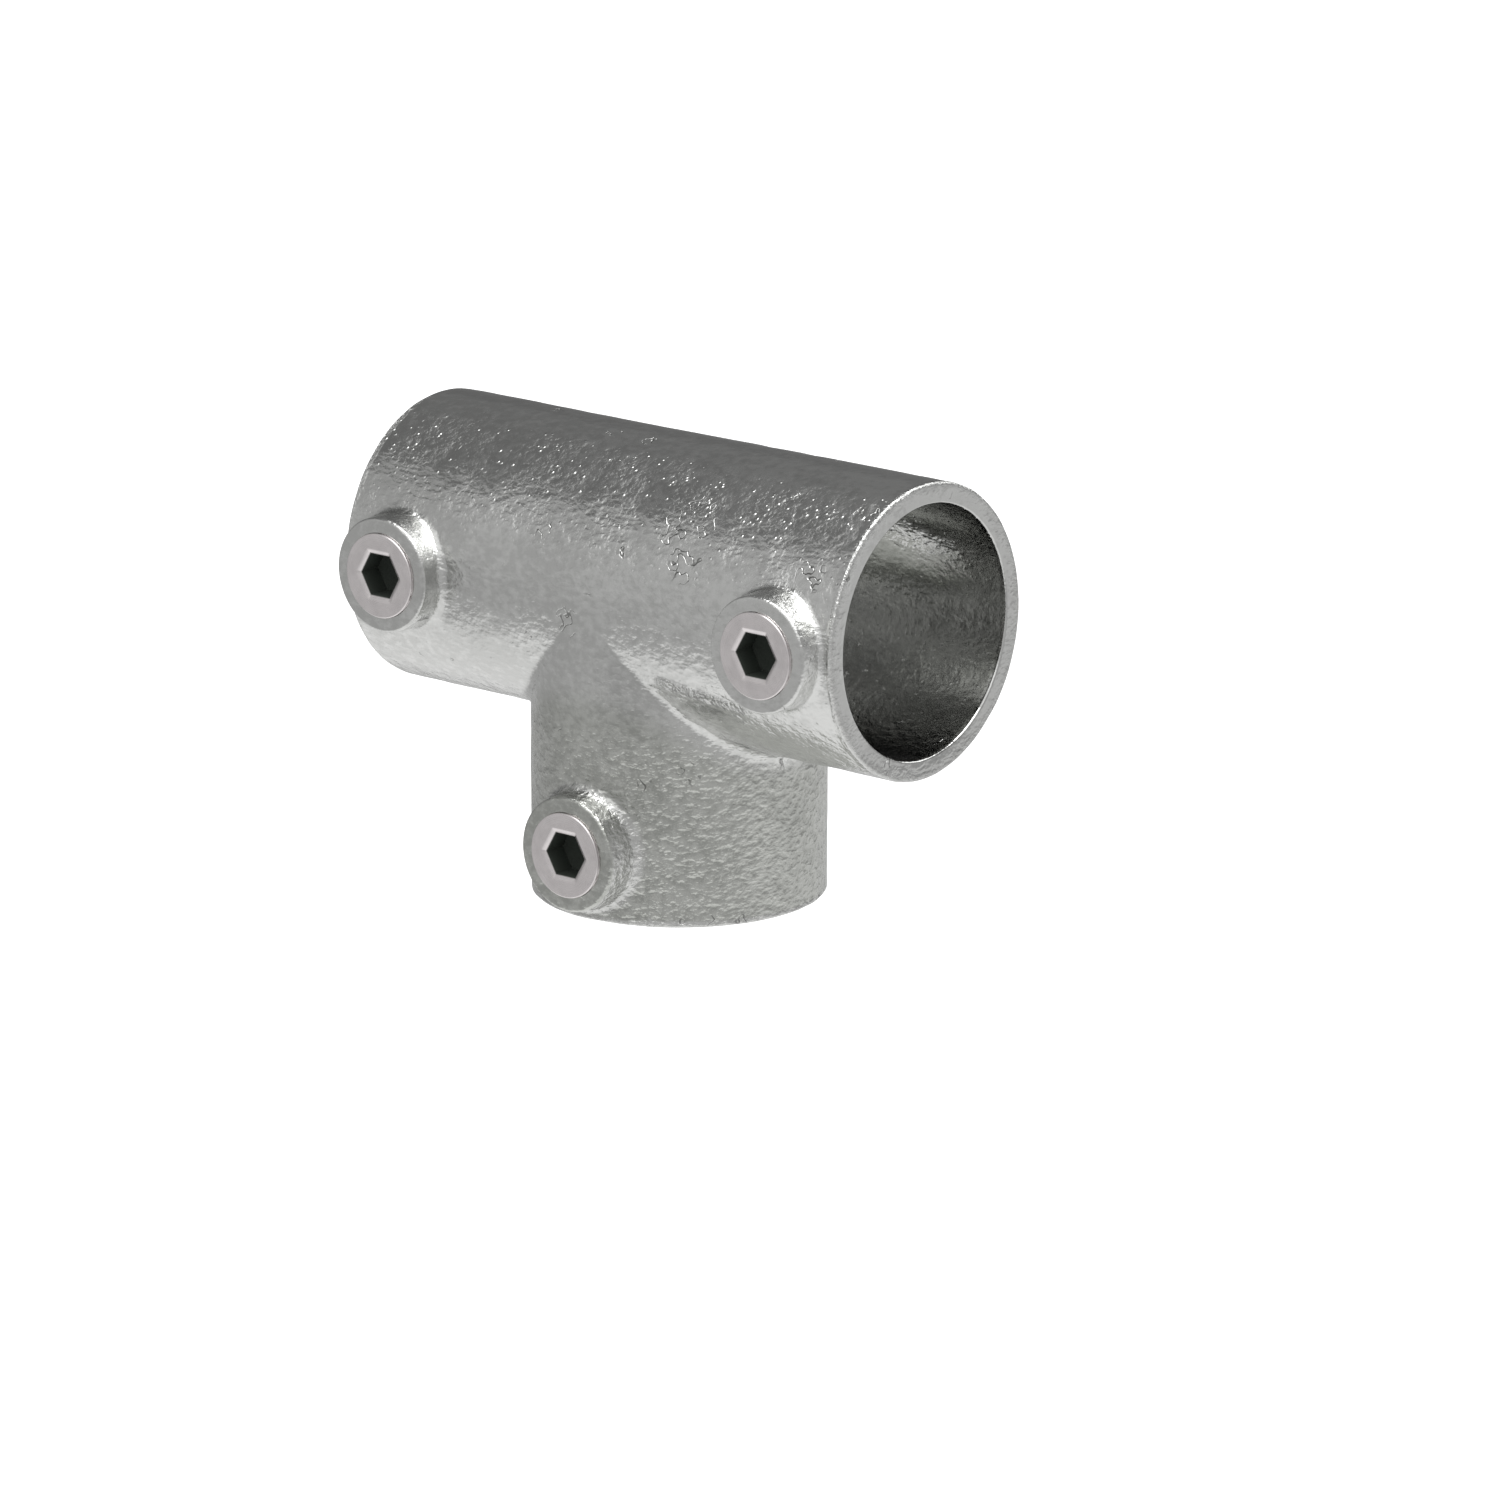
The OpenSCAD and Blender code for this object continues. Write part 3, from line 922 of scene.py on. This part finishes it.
def floor_material(stage):
    """White floor that keeps the shadow: the camera sees it with added white. Reflections see
    it white below the fitting, duller farther out and not at all beyond that."""
    material = bpy.data.materials.new("floor_paper")
    bench = Bench(material)
    shader = shader_of(bench)
    bench.feed(shader, {"Base Color": (*stage.floor, 1.0), "Roughness": 0.9,
                        "Specular IOR Level": 0.0})
    place = bench.object_place()
    rays = bench.add("LightPath").outputs

    def glow(strength):
        """Light of a strength that the floor gives by itself."""
        return bench.add("Emission", {"Strength": strength}).outputs[0]

    def blend(factor, a, b):
        """Mix of two shaders."""
        return bench.add("MixShader", {0: factor, 1: a, 2: b}).outputs[0]

    # Dull part: brighter towards +X and at the back, and a little darker below the camera
    way = bench.vector("NORMALIZE", place)["Vector"]
    part = bench.parts(way)
    side = bench.steps(part["X"], -1.0, 1.0, -0.075, 0.165)
    back = bench.steps(part["Y"], 0.78, 0.95, stage.distance, stage.distance + 0.15)
    facing = bench.vector("DOT_PRODUCT", way, (0.55, -0.835, 0))["Value"]
    level = bench.times(bench.plus(side, back), bench.steps(facing, 0.35, 0.8, 1.0, 0.75))

    away = bench.vector("LENGTH", place)["Value"]
    mirrored = blend(bench.steps(away, 0.6, 0.95), glow(1.0), glow(level))
    clear = bench.add("BsdfTransparent").outputs[0]
    mirrored = blend(bench.steps(away, 2.2, 4.6), mirrored, clear)
    seen = bench.add("AddShader", {0: shader.outputs[0], 1: glow(0.8)}).outputs[0]
    direct = bench.math("MAXIMUM", rays["Is Camera Ray"], rays["Is Transmission Ray"])
    mixed = blend(rays["Is Glossy Ray"], blend(direct, shader.outputs[0], seen), mirrored)
    bench.feed(bench.tree.nodes["Material Output"], {"Surface": mixed})
    return material


def studio_world(stage):
    """Studio round the object: white to the camera. In reflections it is light up to a slanting
    edge overhead, and dark above it. It is duller at the back, most of all towards -X, and has
    a glow round the overhead light."""
    world = bpy.data.worlds.new("studio")
    bpy.context.scene.world = world
    bench = Bench(world)
    way = bench.add("TexCoord").outputs["Generated"]
    part = bench.parts(way)
    height = bench.plus(part["Z"], bench.times(part["Y"], 0.35))
    dark = bench.steps(height, 0.485, 0.60)
    behind = bench.times(bench.steps(part["Y"], -0.9, 0.75),
                         bench.steps(part["X"], -0.4, 0.35, 1.0, 0.25))
    light = bench.plus(stage.distance,
                       bench.times(behind, stage.overhead * 0.85 - stage.distance))
    light = bench.times(light, bench.steps(height, 0.05, 0.4, 1.0, 0.92))
    level = bench.plus(bench.times(light, bench.less(1.0, dark)),
                       bench.times(dark, stage.overhead))
    glow = bench.times(bench.steps(part["X"], -0.62, -0.2),
                       bench.steps(part["Z"], 0.35, 0.6),
                       bench.steps(part["Y"], 0.25, 0.55, 1.0, 0.0))
    level = bench.plus(level, bench.times(glow, stage.glow))
    rays = bench.add("LightPath").outputs
    for ray in ("Is Camera Ray", "Is Transmission Ray"):
        level = bench.math("MAXIMUM", level, rays[ray])
    bench.feed(bench.tree.nodes["Background"], {"Color": (1, 1, 1, 1), "Strength": level})


def soft_light(name, place, width, height, energy):
    """Area light at a place, facing the middle of the fitting."""
    lamp = bpy.data.lights.new(name, "AREA")
    lamp.shape = "RECTANGLE"
    lamp.size, lamp.size_y, lamp.energy = width, height, energy
    way = -np.array(place, float)
    way /= np.linalg.norm(way)
    across = np.cross(way, [0, 0, 1])
    across /= np.linalg.norm(across)
    put(name, lamp).matrix_world = placed(across, np.cross(across, way), -way, place)


def placed(x, y, z, place):
    """Matrix of an object whose own axes point along x, y and z."""
    return Matrix([[x[i], y[i], z[i], place[i]] for i in range(3)] + [[0, 0, 0, 1]])


def photo_camera():
    """Camera at the photograph's viewing angle: yaw from +Y towards -X, then pitch downwards,
    then roll about the way ahead."""
    yaw, pitch, roll = CAMERA_TURNS
    ahead = np.array([-math.sin(yaw) * math.cos(pitch), math.cos(yaw) * math.cos(pitch),
                      -math.sin(pitch)])
    right = np.array([math.cos(yaw), math.sin(yaw), 0])
    down = np.cross(ahead, right)
    turned = math.cos(roll) * right + math.sin(roll) * down
    down = -math.sin(roll) * right + math.cos(roll) * down
    lens = bpy.data.cameras.new("photo_camera")
    lens.lens, lens.sensor_width = CAMERA_LENS, CAMERA_SENSOR
    lens.clip_start, lens.clip_end = 0.05, 50
    camera = put("photo_camera", lens)
    camera.matrix_world = placed(turned, -down, -ahead, CAMERA_PLACE)
    bpy.context.scene.camera = camera


# ----------------------------------------------------------------------
# Operators
# ----------------------------------------------------------------------

class TEE_OT_casting(bpy.types.Operator):
    """Build the galvanised casting with its three bosses"""
    bl_idname = "tee_fitting.casting"
    bl_label = "Casting"

    def execute(self, context):
        size, screw = sizes_of("tee_casting_sizes"), sizes_of("tee_screw_sizes")
        mesh = casting_mesh(size, screw)
        roughen(mesh, size, screw)
        zinc = zinc_material(sizes_of("tee_finishes"), size)
        finish_piece("casting", mesh, zinc, "casting", "tee_casting")
        return {"FINISHED"}


class TEE_OT_set_screws(bpy.types.Operator):
    """Build the three hexagon socket set screws"""
    bl_idname = "tee_fitting.set_screws"
    bl_label = "Set screws"

    def execute(self, context):
        casting, screw = sizes_of("tee_casting_sizes"), sizes_of("tee_screw_sizes")
        steel = steel_material(sizes_of("tee_finishes"))
        across = casting.run_half - casting.boss_inset
        below = casting.stem_depth - casting.boss_inset
        for side, x, z in (("left", -across, 0), ("right", across, 0), ("stem", 0, -below)):
            mesh = screw_mesh(f"{side}_screw_skin", screw, x, z)
            finish_piece(f"{side}_screw", mesh, steel, f"{side}_screw",
                         f"{side}_set_screw", 30)
        return {"FINISHED"}


class TEE_OT_stage(bpy.types.Operator):
    """Build the floor, the studio light and the camera"""
    bl_idname = "tee_fitting.stage"
    bl_label = "Stage"

    def execute(self, context):
        stage = sizes_of("tee_stage")
        floor = put("floor", floor_mesh(-stage.below))
        floor.data.materials.append(floor_material(stage))
        studio_world(stage)
        soft_light("key_light", *KEY_LIGHT, stage.key_light)
        soft_light("back_light", *BACK_LIGHT, stage.back_light)
        photo_camera()
        context.scene.view_settings.view_transform = "Standard"
        return {"FINISHED"}


class TEE_PT_panel(bpy.types.Panel):
    """Sizes, colours and pieces of the tee fitting"""
    bl_idname = "TEE_PT_panel"
    bl_label = "Tee fitting"
    bl_space_type = "VIEW_3D"
    bl_region_type = "UI"
    bl_category = "Tee fitting"

    def draw(self, context):
        for group, kind in GROUPS.items():
            box = self.layout.box()
            box.label(text=kind.__doc__)
            for name in kind.__annotations__:
                box.prop(getattr(context.scene, group), name)
        for operator in OPERATORS:
            self.layout.operator(operator.bl_idname)


GROUPS = {
    "tee_casting_sizes": CastingSizes,
    "tee_screw_sizes": ScrewSizes,
    "tee_finishes": Finishes,
    "tee_stage": StageSettings,
}
OPERATORS = (TEE_OT_stage, TEE_OT_casting, TEE_OT_set_screws)


def register():
    """Registers the groups of sizes, the operators and the panel."""
    for group, kind in GROUPS.items():
        bpy.utils.register_class(kind)
        setattr(bpy.types.Scene, group, PointerProperty(type=kind))
    for kind in (*OPERATORS, TEE_PT_panel):
        bpy.utils.register_class(kind)


def unregister():
    """Takes them all out again."""
    for kind in (TEE_PT_panel, *reversed(OPERATORS)):
        bpy.utils.unregister_class(kind)
    for group, kind in reversed(GROUPS.items()):
        delattr(bpy.types.Scene, group)
        bpy.utils.unregister_class(kind)


def main():
    register()
    bpy.ops.tee_fitting.stage()
    bpy.ops.tee_fitting.casting()
    bpy.ops.tee_fitting.set_screws()


if __name__ == "__main__":
    main()
